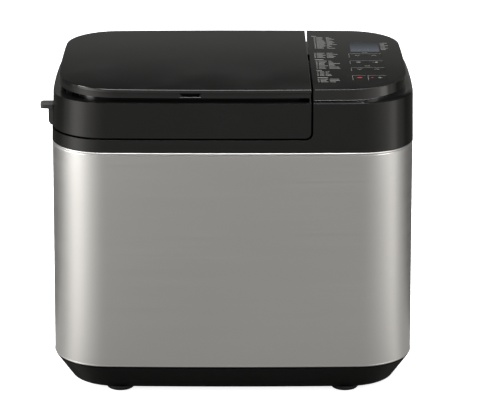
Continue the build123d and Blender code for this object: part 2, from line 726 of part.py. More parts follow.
def power_board():
    board = block(80, 81.6, -70, 70, 150, 262)
    board += block(81.6, 100, -60, -30, 170, 190)
    board += block(81.6, 98, 0, 28, 165, 195)
    board += block(81.6, 94, 40, 60, 170, 184)
    for y, z in ((-40, 225), (-15, 225), (20, 235)):
        board += Pos(81.6, y, z) * Rot(0, 90, 0) * Cylinder(8, 22, align=UP)
    return board


def bread_pan():
    """Coated loaf pan with a rolled rim."""
    def loaf(inset, z0, z1):
        low, high = smaller(PAN_LOW, inset), smaller(PAN_TOP, inset)
        faces = [
            Pos(OVEN_X, 0, z) * RectangleRounded(2 * half[0], 2 * half[1], PAN_CORNER - inset)
            for half, z in ((low, z0), (high, z1))
        ]
        return loft(faces, ruled=True)

    pan = loaf(0, PAN_Z0, PAN_Z1)
    pan += slab(OVEN_X, 0, (84.5, 66.5), 26.5, PAN_Z1 - 2, PAN_Z1)
    pan -= loaf(PAN_WALL, PAN_Z0 + 3, PAN_Z1)
    return pan - post(OVEN_X, 0, 8, PAN_Z0, PAN_Z0 + 3)


def pan_foot():
    """Ring under the pan with two lugs that lock in the seat."""
    ring = post(OVEN_X, 0, 35.5, 71.5, PAN_Z0) - post(OVEN_X, 0, 32.5, 71.5, PAN_Z0)
    for turn in (0, 180):
        ring += sector(turn - 7, turn + 7, 34, 40, 72, 76)
    return ring


def pan_bearing():
    body = post(OVEN_X, 0, 8, 91, 101) + post(OVEN_X, 0, 11, 91, PAN_Z0)
    return body - post(OVEN_X, 0, SPINDLE_R + RUN, 91, 101)


def pan_shaft():
    return post(OVEN_X, 0, SPINDLE_R, 82, 121)


def drive_wing():
    wing = Pos(OVEN_X, 0, 82) * extrude(RectangleRounded(6, 32, 2.5), 6)
    wing += post(OVEN_X, 0, 7, 82, 90)
    return wing - post(OVEN_X, 0, SPINDLE_R, 82, 90)


def kneading_blade():
    """Hub with one sloping paddle."""
    hub = Pos(OVEN_X, 0, 102) * Cone(10, 7, 22, align=UP)
    paddle = Plane.XZ * make_face(Polyline((0, 104), (52, 104), (46, 118), (12, 142), (0, 142), close=True))
    hub += Pos(OVEN_X, 2.5, 0) * extrude(paddle, 5) & post(OVEN_X, 0, 50, 102, 142)
    return hub - post(OVEN_X, 0, SPINDLE_R, 102, 121)


def handle_ear(side):
    """Riveted ear that holds one end of the bail."""
    ear = block(84.5, 86.1, -9, 9, 212, 236) + bar_x(0, BAIL_Z, 9, 84.5, 86.1)
    ear += block(83.2, 84.5, -9, 9, 212, 222)
    ear -= bar_x(0, BAIL_Z, BAIL_R + 0.05, 80, 90)
    return Pos(OVEN_X, 0, 0) * (ear if side > 0 else mirror(ear, Plane.YZ))


def pan_handle():
    """Wire bail, lying forward over the rim."""
    y = -BAIL_REACH
    route = [(82.6, 0), (BAIL_X, 0), (BAIL_X, y), (-BAIL_X, y), (-BAIL_X, 0), (-82.6, 0)]
    line = FilletPolyline(*[(px, py, BAIL_Z) for px, py in route], radius=[3.2, 25, 25, 3.2])
    wire = sweep(Plane(origin=line @ 0, z_dir=line % 0) * Circle(BAIL_R), path=line)
    return Pos(OVEN_X, 0, 0) * wire


def write_case():
    save("base_tray", base_tray())
    save("rubber_feet", *[foot(x, y) for x, y in foot_places()])
    save("chassis_plate", chassis_plate())
    screws = [screw(x, y, PLATE_TOP, 3, 2, 1.6, 13) for x, y in chassis_screw_places()]
    save("chassis_screws", *screws, *[motor_screw(x, y) for x, y in motor_screw_places()])
    save("steel_jacket", steel_jacket())
    save("jacket_screws", *[jacket_screw(x, z) for x, z in jacket_screw_places()])
    save("power_inlet", power_inlet())
    save("inlet_pins", *inlet_pins())
    save("top_frame", top_frame())
    save("lid_hinge_pins", *hinge_pins(LID_HINGE_X, LID_PIN))


def write_console():
    save("console_panel", console_panel())
    save("display_window", display_window())
    switches = [tact_switch(x, y) for x, y, w, d in keys().values()]
    save("control_board", control_board(), display_module(), *switches)
    for name, place in keys().items():
        save(name, key_cap(*place))


def write_lid():
    save("lid_shell", lid_shell())
    save("steam_vent", steam_vent())
    save("lift_tab", lift_tab())
    save("lid_liner", lid_liner())
    save("lid_gasket", lid_gasket())
    save("lid_screws", *[
        post(x, y, 3, LINER_Z[0] - 1.6, LINER_Z[0]) + post(x, y, 1.5, LINER_Z[0], 311)
        for x, y in lid_screw_places()
    ])
    save("fruit_bin", hopper(*FRUIT_BIN))
    save("fruit_flap", flap(*FRUIT_BIN))
    save("yeast_cup", hopper(*YEAST_CUP))
    save("yeast_flap", flap(*YEAST_CUP))
    save("latch_solenoid", latch_solenoid())
    pins = hinge_pins(COVER_HINGE_X, COVER_PIN)
    save("lid_pins", *pins, flap_pin(*FRUIT_BIN), flap_pin(*YEAST_CUP))
    save("cover_tray", cover_tray())
    save("cover_plate", cover_plate())


def write_oven():
    save("oven_chamber", oven_chamber())
    save("chamber_brackets", *chamber_stands(), *heater_clips())
    save("heater_element", heater_element())
    save("temperature_sensor", temperature_sensor())
    save("pan_seat", pan_seat())
    save("heat_shield", heat_shield())
    save("power_board", power_board())


def write_drive():
    save("bearing_housing", bearing_housing())
    save("spindle_bushes", *spindle_bushes())
    save("drive_spindle", post(OVEN_X, 0, SPINDLE_R, 15, 78))
    save("drive_coupling", drive_coupling())
    save("large_pulley", large_pulley())
    save("drive_belt", drive_belt())
    save("motor", motor())
    save("motor_mounts", *motor_mounts())
    save("motor_shaft", post(MOTOR_X, 0, SPINDLE_R, 14, 112))
    save("motor_pulley", pulley(MOTOR_X, MOTOR_PULLEY_R, 7, 16, 31))


def write_pan():
    save("bread_pan", bread_pan())
    save("pan_foot", pan_foot())
    save("pan_bearing", pan_bearing())
    save("pan_shaft", pan_shaft())
    save("drive_wing", drive_wing())
    save("kneading_blade", kneading_blade())
    save("handle_ears", handle_ear(1), handle_ear(-1))
    save("pan_handle", pan_handle())


os.makedirs("parts", exist_ok=True)
write_case()
write_console()
write_lid()
write_oven()
write_drive()
write_pan()
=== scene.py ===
"""Countertop bread machine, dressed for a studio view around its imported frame."""

import json
import math

import bmesh
import bpy
from mathutils import Matrix, Vector


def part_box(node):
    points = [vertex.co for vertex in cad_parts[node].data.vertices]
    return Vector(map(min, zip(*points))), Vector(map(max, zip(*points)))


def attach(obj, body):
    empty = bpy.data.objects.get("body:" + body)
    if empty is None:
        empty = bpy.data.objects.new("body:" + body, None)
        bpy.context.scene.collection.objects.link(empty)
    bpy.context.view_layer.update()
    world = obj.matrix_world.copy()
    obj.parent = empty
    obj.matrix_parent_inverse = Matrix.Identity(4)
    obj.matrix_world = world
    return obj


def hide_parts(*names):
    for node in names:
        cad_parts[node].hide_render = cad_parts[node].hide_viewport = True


bl_info = {
    "name": "Bread machine",
    "version": (1, 0, 0),
    "blender": (4, 5, 0),
    "location": "3D View > Sidebar > Bread machine",
    "description": "Builds the visible pieces, finishes and studio of a countertop bread machine",
    "category": "Object",
}

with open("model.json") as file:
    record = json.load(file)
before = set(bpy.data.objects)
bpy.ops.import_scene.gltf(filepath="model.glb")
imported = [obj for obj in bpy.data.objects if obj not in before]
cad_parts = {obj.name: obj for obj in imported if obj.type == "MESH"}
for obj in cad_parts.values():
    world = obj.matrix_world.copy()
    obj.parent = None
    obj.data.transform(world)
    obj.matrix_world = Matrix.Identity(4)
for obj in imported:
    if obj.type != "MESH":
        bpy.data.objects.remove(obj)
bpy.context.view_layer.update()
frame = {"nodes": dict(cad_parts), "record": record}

MM = 0.001
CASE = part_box("steel_jacket")
MID_X = (CASE[0].x + CASE[1].x) / 2
CASE_Z0 = CASE[0].z / MM
CASE_Z1 = CASE[1].z / MM
CASE_LOW = ((CASE[1].x - CASE[0].x) / 2 / MM, (CASE[1].y - CASE[0].y) / 2 / MM)
CASE_TOP = (CASE_LOW[0] - 2.6, CASE_LOW[1] - 2.7)
CASE_CORNER = 60.4
CASE_BOW = (1.8, 1.2)
TOP_Z = 350.65
TOP_SLOPE = 0.0295
TOP_TILT = math.atan(TOP_SLOPE)
TOP_HALF = (186.0, 120.0)
TOP_Y = 0.4
TOP_CORNERS = (67.0, 56.0)
TOP_BOW = (2.4, 0.9)
CONSOLE_X = 84.2
SHOULDER_Z = 335.1
NOTCH_Z = 339.0
SCREEN_Y = (29.6, 66.4)
SLOT_OF = {part["node"]: part["material_slot"] for part in frame["record"]["subparts"]}
BODY_OF = {
    node: body for body, nodes in frame["record"]["behaviour"]["bodies"].items() for node in nodes
}


# ---------------------------------------------------------------- materials

def socket_in(group, name, kind, value):
    """Named input of a node group."""
    made = group.interface.new_socket(name, in_out="INPUT", socket_type=kind)
    made.default_value = value


def grain_group():
    """Two noises: a fine one for height and a broad one that varies the roughness."""
    group = bpy.data.node_groups.get("moulded_grain")
    if group:
        return group
    group = bpy.data.node_groups.new("moulded_grain", "ShaderNodeTree")
    socket_in(group, "Grain Scale", "NodeSocketFloat", 900.0)
    socket_in(group, "Smudge Scale", "NodeSocketFloat", 14.0)
    socket_in(group, "Rough Low", "NodeSocketFloat", 0.3)
    socket_in(group, "Rough High", "NodeSocketFloat", 0.4)
    for name in ("Roughness", "Height", "Smudge"):
        group.interface.new_socket(name, in_out="OUTPUT", socket_type="NodeSocketFloat")
    nodes, link = group.nodes, group.links.new
    given = nodes.new("NodeGroupInput")
    out = nodes.new("NodeGroupOutput")
    place = nodes.new("ShaderNodeTexCoord")
    fine = nodes.new("ShaderNodeTexNoise")
    fine.inputs["Detail"].default_value = 3
    broad = nodes.new("ShaderNodeTexNoise")
    broad.inputs["Detail"].default_value = 5
    spread = nodes.new("ShaderNodeMapRange")
    spread.inputs["From Min"].default_value = 0.35
    spread.inputs["From Max"].default_value = 0.65
    link(place.outputs["Object"], fine.inputs["Vector"])
    link(place.outputs["Object"], broad.inputs["Vector"])
    link(given.outputs["Grain Scale"], fine.inputs["Scale"])
    link(given.outputs["Smudge Scale"], broad.inputs["Scale"])
    link(broad.outputs["Fac"], spread.inputs["Value"])
    link(given.outputs["Rough Low"], spread.inputs["To Min"])
    link(given.outputs["Rough High"], spread.inputs["To Max"])
    link(spread.outputs["Result"], out.inputs["Roughness"])
    link(fine.outputs["Fac"], out.inputs["Height"])
    link(broad.outputs["Fac"], out.inputs["Smudge"])
    return group


def brush_group():
    """Fine level strokes for brushed sheet, with slow drifts in tone."""
    group = bpy.data.node_groups.get("brushed_strokes")
    if group:
        return group
    group = bpy.data.node_groups.new("brushed_strokes", "ShaderNodeTree")
    socket_in(group, "Along", "NodeSocketFloat", 6.0)
    socket_in(group, "Across", "NodeSocketFloat", 2600.0)
    socket_in(group, "Rough Low", "NodeSocketFloat", 0.25)
    socket_in(group, "Rough High", "NodeSocketFloat", 0.35)
    for name in ("Roughness", "Height", "Tone"):
        group.interface.new_socket(name, in_out="OUTPUT", socket_type="NodeSocketFloat")
    nodes, link = group.nodes, group.links.new
    given = nodes.new("NodeGroupInput")
    out = nodes.new("NodeGroupOutput")
    place = nodes.new("ShaderNodeTexCoord")
    size = nodes.new("ShaderNodeCombineXYZ")
    stretch = nodes.new("ShaderNodeVectorMath")
    stretch.operation = "MULTIPLY"
    strokes = nodes.new("ShaderNodeTexNoise")
    strokes.inputs["Scale"].default_value = 1.0
    strokes.inputs["Detail"].default_value = 4
    drift = nodes.new("ShaderNodeTexNoise")
    drift.inputs["Scale"].default_value = 5.0
    spread = nodes.new("ShaderNodeMapRange")
    spread.inputs["From Min"].default_value = 0.3
    spread.inputs["From Max"].default_value = 0.7
    link(given.outputs["Along"], size.inputs["X"])
    link(given.outputs["Along"], size.inputs["Y"])
    link(given.outputs["Across"], size.inputs["Z"])
    link(place.outputs["Object"], stretch.inputs[0])
    link(size.outputs["Vector"], stretch.inputs[1])
    link(stretch.outputs["Vector"], strokes.inputs["Vector"])
    link(place.outputs["Object"], drift.inputs["Vector"])
    link(strokes.outputs["Fac"], spread.inputs["Value"])
    link(given.outputs["Rough Low"], spread.inputs["To Min"])
    link(given.outputs["Rough High"], spread.inputs["To Max"])
    link(spread.outputs["Result"], out.inputs["Roughness"])
    link(strokes.outputs["Fac"], out.inputs["Height"])
    link(drift.outputs["Fac"], out.inputs["Tone"])
    return group


def finish(name, light, dark, group, values, bump=0.0, **sockets):
    """Principled material whose colour, roughness and relief come from a shared group.

    light and dark are mixed by the group's slow mask; sockets are constants of the shader.
    """
    made = bpy.data.materials.get(name)
    if made:
        return made
    made = bpy.data.materials.new(name)
    made.use_nodes = True
    made.diffuse_color = (*light, 1.0)
    nodes, link = made.node_tree.nodes, made.node_tree.links.new
    shader = nodes["Principled BSDF"]
    for key, value in sockets.items():
        shader.inputs[key.replace("_", " ")].default_value = value
    effect = nodes.new("ShaderNodeGroup")
    effect.node_tree = group
    for key, value in values.items():
        effect.inputs[key].default_value = value
    tone = nodes.new("ShaderNodeMix")
    tone.data_type = "RGBA"
    tone.inputs["A"].default_value = (*dark, 1.0)
    tone.inputs["B"].default_value = (*light, 1.0)
    link(effect.outputs[2], tone.inputs["Factor"])
    link(tone.outputs["Result"], shader.inputs["Base Color"])
    link(effect.outputs["Roughness"], shader.inputs["Roughness"])
    if bump:
        relief = nodes.new("ShaderNodeBump")
        relief.inputs["Strength"].default_value = 0.35
        relief.inputs["Distance"].default_value = bump * MM
        link(effect.outputs["Height"], relief.inputs["Height"])
        link(relief.outputs["Normal"], shader.inputs["Normal"])
    return made


def grey(value, warm=0.0):
    return (value * (1 + warm), value, value * (1 - warm))


def moulded(name, level, rough, grain=900.0, bump=0.02, **sockets):
    """Moulded plastic or rubber."""
    values = {"Grain Scale": grain, "Rough Low": rough - 0.05, "Rough High": rough + 0.05}
    light, dark = (grey(level * k, 0.01) for k in (1.12, 0.88))
    return finish(name, light, dark, grain_group(), values, bump, **sockets)


def sheet_metal(name, level, rough, along=6.0, across=2600.0, bump=0.01, warm=0.012, **sockets):
    """Brushed or rolled metal."""
    values = {
        "Along": along, "Across": across, "Rough Low": rough - 0.05, "Rough High": rough + 0.06,
    }
    light, dark = (grey(level * k, warm) for k in (1.05, 0.95))
    sockets.setdefault("Metallic", 1.0)
    return finish(name, light, dark, brush_group(), values, bump, **sockets)


def coloured(name, light, dark, rough, **sockets):
    """Finish with two stated colours."""
    values = {"Rough Low": rough - 0.05, "Rough High": rough + 0.05}
    return finish(name, light, dark, grain_group(), values, 0.01, **sockets)


def brushed_case():
    """Steel of the outer wrap: brushed round the case."""
    return sheet_metal("brushed_case_steel", 0.58, 0.38, Anisotropic=0.3)


FINISHES = {
    "case_black": lambda: moulded("base_plastic", 0.0055, 0.34, Specular_IOR_Level=0.44),
    "satin_black": lambda: moulded("satin_plastic", 0.0022, 0.24, bump=0.012, Specular_IOR_Level=0.46),
    "gloss_black": lambda: moulded(
        "gloss_plate", 0.0012, 0.07, grain=200.0, bump=0.0, Specular_IOR_Level=0.8
    ),
    "brushed_steel": brushed_case,
    "plated_steel": lambda: sheet_metal("zinc_plate", 0.55, 0.4, 40.0, 60.0),
    "bright_steel": lambda: sheet_metal("bright_wire", 0.72, 0.16, 300.0, 900.0, 0.004),
    "rubber_black": lambda: moulded("foot_rubber", 0.016, 0.7, grain=1500.0, bump=0.05),
    "silicone_grey": lambda: moulded("silicone_seal", 0.16, 0.55, bump=0.02),
    "pan_coating": lambda: moulded("pan_non_stick", 0.045, 0.38, grain=2200.0, bump=0.03, Metallic=0.4),
    "liner_metal": lambda: sheet_metal("satin_aluminium", 0.62, 0.38, 30.0, 900.0),
    "oven_coating": lambda: moulded("oven_lining", 0.12, 0.45, grain=1600.0, bump=0.03, Metallic=0.6),
    "heater_metal": lambda: coloured("oxidised_sheath", (0.09, 0.075, 0.06), (0.05, 0.045, 0.04), 0.6),
    "bronze": lambda: coloured(
        "sintered_bronze", (0.5, 0.33, 0.16), (0.4, 0.26, 0.12), 0.42, Metallic=1.0
    ),
    "board_green": lambda: coloured("solder_mask", (0.03, 0.15, 0.07), (0.02, 0.11, 0.05), 0.3),
    "screen": lambda: screen_window(),
    "belt_rubber": lambda: moulded("belt_rubber", 0.02, 0.65, grain=700.0, bump=0.04),
    "edge": lambda: moulded("polished_edge", 0.006, 0.24, grain=400.0, bump=0.0, Specular_IOR_Level=0.8),
    # the tab's plastic is lighter than the other black plastics: a painted sheen standing in for the
    # highlight on its rounded block
    "lift_tab": lambda: moulded("tab_plastic_painted_sheen", 0.024, 0.30, bump=0.015),
    "motor_metal": lambda: moulded("motor_paint", 0.22, 0.4, bump=0.02, Metallic=0.3),
}


def screen_window():
    """Display glass with painted shade: dark at its back edge and paler towards the front."""
    shades = ((0.0, (0.034, 0.040, 0.048)), (1.0, (0.003, 0.004, 0.005)))
    made = coloured("screen_window", (0.03, 0.035, 0.042), (0.02, 0.024, 0.03), 0.12)
    nodes, link = made.node_tree.nodes, made.node_tree.links.new
    if "shade" in nodes:
        return made
    place = nodes.new("ShaderNodeTexCoord")
    split = nodes.new("ShaderNodeSeparateXYZ")
    reach = nodes.new("ShaderNodeMapRange")
    reach.inputs["From Min"].default_value = (SCREEN_Y[0] + 2.0) * MM
    reach.inputs["From Max"].default_value = SCREEN_Y[1] * MM
    shade = nodes.new("ShaderNodeValToRGB")
    shade.name = "shade"
    for element, (position, colour) in zip(shade.color_ramp.elements, shades):
        element.position = position
        element.color = (*colour, 1.0)
    link(place.outputs["Object"], split.inputs[0])
    link(split.outputs["Y"], reach.inputs["Value"])
    link(reach.outputs["Result"], shade.inputs["Fac"])
    link(shade.outputs["Color"], nodes["Principled BSDF"].inputs["Base Color"])
    return made


def printed(name, colour):
    """Ink of the marks on the console; the pale one also paints the highlights along the key edges."""
    return coloured(name, colour, tuple(c * 0.8 for c in colour), 0.5)


# ---------------------------------------------------------------- mesh tools

def add_object(name, mesh):
    made = bpy.data.objects.new(name, mesh)
    bpy.context.scene.collection.objects.link(made)
    return made


def settle(piece, material, body, replaced=()):
    """Give a piece its finish and its body, and hide the frame nodes it stands in for."""
    piece.data.materials.clear()
    piece.data.materials.append(material)
    for polygon in piece.data.polygons:
        polygon.material_index = 0
    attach(piece, body)
    if replaced:
        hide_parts(*replaced)
    return piece


def apply_modifiers(piece):
    """Turn a piece and its modifiers into one plain mesh."""
    seen = piece.evaluated_get(bpy.context.evaluated_depsgraph_get())
    mesh = bpy.data.meshes.new_from_object(seen)
    piece.modifiers.clear()
    old = piece.data
    piece.data = mesh
    mesh.name = piece.name
    bpy.data.meshes.remove(old)
    return piece


def smooth(mesh, angle=32.0):
    mesh.polygons.foreach_set("use_smooth", [True] * len(mesh.polygons))
    mesh.set_sharp_from_angle(angle=math.radians(angle))


def bevelled(piece, width, segments=2, angle=32.0):
    """Round the hard edges of a piece and even out its shading."""
    edge = piece.modifiers.new("edge", "BEVEL")
    edge.width = width * MM
    edge.segments = segments
    edge.limit_method = "ANGLE"
    edge.angle_limit = math.radians(angle)
    edge.miter_outer = "MITER_ARC"
    apply_modifiers(piece)
    smooth(piece.data, 60.0)
    even = piece.modifiers.new("even", "WEIGHTED_NORMAL")
    even.keep_sharp = True
    return apply_modifiers(piece)


def frame_copy(node, name):
    """Merged copy of a frame node's mesh, with its flat faces joined up."""
    work = bmesh.new()
    work.from_mesh(frame["nodes"][node].data)
    bmesh.ops.remove_doubles(work, verts=work.verts, dist=0.002 * MM)
    bmesh.ops.dissolve_limit(
        work, angle_limit=math.radians(0.15), verts=work.verts, edges=work.edges
    )
    work.verts.index_update()
    points = [vert.co.copy() for vert in work.verts]
    faces = [[vert.index for vert in face.verts] for face in work.faces]
    work.free()
    mesh = bpy.data.meshes.new(name)
    mesh.from_pydata(points, [], faces)
    return add_object(name, mesh)


def softened(node, name, width, segments=2):
    """Frame node with its edges rounded, standing in for the sharp one."""
    piece = bevelled(frame_copy(node, name), width, segments)
    slot_name = SLOT_OF[node]
    made = FINISHES[node if node in FINISHES else slot_name]()
    return settle(piece, made, BODY_OF[node], (node,))


def corner_arc(half, corner, bow):
    """Centre of the front right corner arc and its meeting points with front and side."""
    front_r = ((half[0] - corner) ** 2 + bow[0] ** 2) / (2 * bow[0])
    side_r = ((half[1] - corner) ** 2 + bow[1] ** 2) / (2 * bow[1])
    front = Vector((0, front_r - half[1]))
    side = Vector((half[0] - side_r, 0))
    span = side - front
    reach = front_r - corner
    along = (reach ** 2 - (side_r - corner) ** 2 + span.length ** 2) / (2 * span.length)
    across = Vector((-span.y, span.x)).normalized() * math.sqrt(reach ** 2 - along ** 2)
    centre = front + span.normalized() * along
    centre = max(centre + across, centre - across, key=lambda point: point.x)
    return centre, front, front_r, side, side_r


def arc(centre, radius, start, end, steps):
    """Points of an arc, without its last one."""
    return [
        Vector((
            centre.x + radius * math.cos(start + (end - start) * n / steps),
            centre.y + radius * math.sin(start + (end - start) * n / steps),
        ))
        for n in range(steps)
    ]


def quarter_outline(half, corner, bow, steps=(24, 18, 12)):
    """Outline from the middle of the front to the middle of the right side."""
    centre, front, front_r, side, side_r = corner_arc(half, corner, bow)
    to_corner = centre - front
    to_side = centre - side
    front_turn = math.atan2(to_corner.y, to_corner.x)
    side_turn = math.atan2(to_side.y, to_side.x)
    quarter = arc(front, front_r, -math.pi / 2, front_turn, steps[0])
    quarter += arc(centre, corner, front_turn, side_turn, steps[1])
    quarter += arc(side, side_r, side_turn, 0.0, steps[2])
    return quarter + [Vector((half[0], 0))]


def outline(half, corner, bow):
    """Closed outline of the case, counter-clockwise from the middle of the front."""
    quarter = quarter_outline(half, corner, bow)
    right = quarter + [Vector((p.x, -p.y)) for p in quarter[-2:0:-1]]
    left = [Vector((-p.x, -p.y)) for p in right]
    return right + left


def bead(name, path, radius, body, material):
    """Thin round bead along an open path of points, in millimetres from the case's middle."""
    rings = []
    for n, point in enumerate(path):
        before, after = path[max(0, n - 1)], path[min(len(path) - 1, n + 1)]
        along = (after - before).normalized()
        out = Vector((along.y, -along.x, 0)).normalized()
        ring = []
        for step in range(10):
            turn = 2 * math.pi * step / 10
            offset = out * radius * math.cos(turn) + Vector((0, 0, radius * math.sin(turn)))
            ring.append((point + offset) * MM + Vector((MID_X, 0, 0)))
        rings.append(ring)
    piece = loft(name, rings)
    work = bmesh.new()
    work.from_mesh(piece.data)
    bmesh.ops.holes_fill(work, edges=work.edges, sides=12)
    bmesh.ops.recalc_face_normals(work, faces=work.faces)
    work.to_mesh(piece.data)
    work.free()
    smooth(piece.data, 50.0)
    return settle(piece, material, body)


def loft(name, rings, closed=False):
    """Quads between rings of equal length; a closed loft joins its last ring to its first."""
    count = len(rings[0])
    points = [point for ring in rings for point in ring]
    faces = []
    total = len(rings)
    for level in range(total if closed else total - 1):
        low, high = level * count, (level + 1) % total * count
        for n in range(count):
            after = (n + 1) % count
            faces.append((low + n, low + after, high + after, high + n))
    mesh = bpy.data.meshes.new(name)
    mesh.from_pydata(points, [], faces)
    return add_object(name, mesh)


def box_cutter(name, boxes):
    """Mesh of separate blocks, each given by two corners in millimetres from the case's middle."""
    work = bmesh.new()
    for low, high in boxes:
        low, high = Vector(low), Vector(high)
        size = Matrix.Diagonal(((high - low) * MM).to_4d())
        middle = (low + high) / 2 * MM + Vector((MID_X, 0, 0))
        bmesh.ops.create_cube(work, size=1, matrix=Matrix.Translation(middle) @ size)
    mesh = bpy.data.meshes.new(name)
    work.to_mesh(mesh)
    work.free()
    return add_object(name, mesh)


def cut_out(piece, cutter):
    """Take a cutter's blocks out of a piece."""
    cut = piece.modifiers.new("cut", "BOOLEAN")
    cut.object = cutter
    cut.operation = "DIFFERENCE"
    cut.solver = "EXACT"
    apply_modifiers(piece)
    bpy.data.objects.remove(cutter)
    return piece


# ---------------------------------------------------------------- steel case

BACK_WALL = (112, 130)
COOLING_X, COOLING_PITCH, COOLING_SIZE = 60, 6, (3, 225, 250)
INLET_X, INLET_SIZE = 90.8, (28.4, 60.8, 81.2)


def case_size(z):
    """Half width and half depth of the case at a height."""
    share = (z - CASE_Z0) / (CASE_Z1 - CASE_Z0)
    return [low + (high - low) * share for low, high in zip(CASE_LOW, CASE_TOP)]


def steel_profile(sheet, bead):
    """Inset and height of each ring: outer face from foot to rolled lip, then the inner face."""
    low, high = CASE_Z0, CASE_Z1
    return [
        (0.9, low), (0.35, low + 0.1), (-0.1, low + 0.5), (-0.25, low + 1.0), (-0.15, low + 1.6),
        (0.0, low + 2.0), (0.0, low + 2.6), (0.0, 100.0), (0.0, 160.0), (0.0, 220.0),
        (0.0, high - 3.6), (0.05, high - 3.0), (0.3, high - 2.6), (0.12, high - 2.2),
        (-bead * 0.7, high - 1.7), (-bead, high - 1.15), (-bead * 0.7, high - 0.6),
        (0.05, high - 0.15), (0.6, high), (sheet, high - 0.5), (sheet, 160.0), (sheet, low + 0.6),
    ]


def back_hole(x, size):
    """Block through the back wall: size is its width, its lower edge and its upper edge."""
    width, low, high = size
    return (x, BACK_WALL[0], low), (x + width, BACK_WALL[1], high)


class SteelSettings(bpy.types.PropertyGroup):
    sheet: bpy.props.FloatProperty(
        name="Sheet", description="Thickness of the steel wrap", default=0.0012, min=0.0005,
        unit="LENGTH"
    )
    bead: bpy.props.FloatProperty(
        name="Lip", description="How far the rolled lip stands out", default=0.0004, min=0.0,
        unit="LENGTH"
    )
    slot_count: bpy.props.IntProperty(
        name="Cooling slots", description="Number of slots at the back", default=12, min=1
    )


class BREADMACHINE_OT_steel_case(bpy.types.Operator):
    """Build the brushed steel wrap with its rolled lip, cooling slots and inlet hole"""

    bl_idname = "breadmachine.steel_case"
    bl_label = "Steel case"

    def execute(self, context):
        given = context.scene.bread_machine_steel
        rings = []
        for inset, z in steel_profile(given.sheet / MM, given.bead / MM):
            half = [size - inset for size in case_size(z)]
            path = outline(half, CASE_CORNER - inset, CASE_BOW)
            rings.append([Vector((p.x * MM + MID_X, p.y * MM, z * MM)) for p in path])
        wrap = loft("steel_wrap", rings, closed=True)
        holes = [back_hole(COOLING_X + n * COOLING_PITCH, COOLING_SIZE) for n in range(given.slot_count)]
        holes.append(back_hole(INLET_X, INLET_SIZE))
        cut_out(wrap, box_cutter("wrap_holes", holes))
        smooth(wrap.data, 40.0)
        settle(wrap, brushed_case(), "case", ("steel_jacket",))
        return {"FINISHED"}


# ---------------------------------------------------------------- plastic shells

# node, name of its piece, width of its rounded edges in millimetres, segments
SHELLS = (
    ("top_frame", "frame_shell", 1.2, 3),
    ("base_tray", "base_shell", 0.8, 2),
    ("rubber_feet", "feet", 0.5, 2),
    ("console_panel", "console_shell", 0.8, 3),
    ("lid_shell", "lid_body", 1.2, 3),
    ("lift_tab", "tab", 1.8, 4),
    ("steam_vent", "vent_insert", 0.3, 1),
    ("cover_tray", "cover_frame", 0.5, 2),
    ("cover_plate", "cover_top", 0.5, 3),
    ("power_inlet", "inlet_body", 0.5, 2),
)

INNER = (
    ("fruit_bin", "bin_shell", 0.4, 2),
    ("yeast_cup", "cup_shell", 0.4, 2),
    ("fruit_flap", "bin_door", 0.3, 1),
    ("yeast_flap", "cup_door", 0.3, 1),
    ("lid_liner", "liner_sheet", 0.25, 1),
    ("lid_gasket", "seal_ring", 0.8, 2),
    ("oven_chamber", "oven_lining_shell", 0.4, 2),
    ("bread_pan", "loaf_pan", 0.6, 2),
    ("kneading_blade", "paddle", 0.8, 2),
    ("handle_ears", "pan_ears", 0.3, 1),
    ("pan_seat", "seat_ring", 0.4, 1),
    ("drive_wing", "wing", 0.5, 2),
    ("drive_coupling", "coupling", 0.5, 2),
    ("large_pulley", "big_pulley", 0.4, 1),
)


def soften_all(pieces, scale):
    for node, name, width, segments in pieces:
        softened(node, name, width * scale, segments)


class ShellSettings(bpy.types.PropertyGroup):
    edge: bpy.props.FloatProperty(
        name="Edge", description="Scale of the rounding on every moulded edge", default=1.0, min=0.2,
        subtype="FACTOR"
    )


class BREADMACHINE_OT_shells(bpy.types.Operator):
    """Round the edges of the moulded shells"""

    bl_idname = "breadmachine.shells"
    bl_label = "Moulded shells"

    def execute(self, context):
        soften_all(SHELLS, context.scene.bread_machine_shells.edge)
        return {"FINISHED"}


class BREADMACHINE_OT_trim(bpy.types.Operator):
    """Add the raised lines above and under the console band and the lip of the finger notch"""

    bl_idname = "breadmachine.trim"
    bl_label = "Trim lines"

    def execute(self, context):
        right = quarter_outline(TOP_HALF, TOP_CORNERS[0], TOP_BOW)
        back = quarter_outline(TOP_HALF, TOP_CORNERS[1], TOP_BOW)
        path = [Vector((p.x, p.y + TOP_Y)) for p in right if p.x > CONSOLE_X + 0.6]
        path += [Vector((p.x, TOP_Y - p.y)) for p in back[-2::-1] if p.x > CONSOLE_X + 0.6]
        low = [Vector((p.x, p.y, SHOULDER_Z + 0.35)) for p in path]
        bead("console_trim", low, 0.35, "case", FINISHES["edge"]())
        high = [Vector((p.x, p.y + 0.15, TOP_Z - 0.18 + TOP_SLOPE * p.y)) for p in path if p.y < -20.0]
        bead("console_rim", high, 0.3, "case", FINISHES["edge"]())
        y = TOP_Y - TOP_HALF[1] + 0.9
        lip = [Vector((x, y, NOTCH_Z)) for x in (-55.0, -51.0, -47.5, -44.0, -40.5, -37.0, -33.0)]
        bead("notch_lip", lip, 0.5, "cover", FINISHES["edge"]())
        return {"FINISHED"}


class BREADMACHINE_OT_inner_parts(bpy.types.Operator):
    """Round the edges of the oven, the pan and the dispensers"""

    bl_idname = "breadmachine.inner_parts"
    bl_label = "Oven, pan and dispensers"

    def execute(self, context):
        soften_all(INNER, context.scene.bread_machine_shells.edge)
        return {"FINISHED"}


class BREADMACHINE_OT_finishes(bpy.types.Operator):
    """Give every remaining frame node the finish of its slot"""

    bl_idname = "breadmachine.finishes"
    bl_label = "Finishes"

    def execute(self, context):
        for node, piece in frame["nodes"].items():
            material = FINISHES[SLOT_OF[node]]()
            if not piece.material_slots:
                piece.data.materials.append(material)
            for place in piece.material_slots:
                place.material = material
        return {"FINISHED"}


# ---------------------------------------------------------------- stage

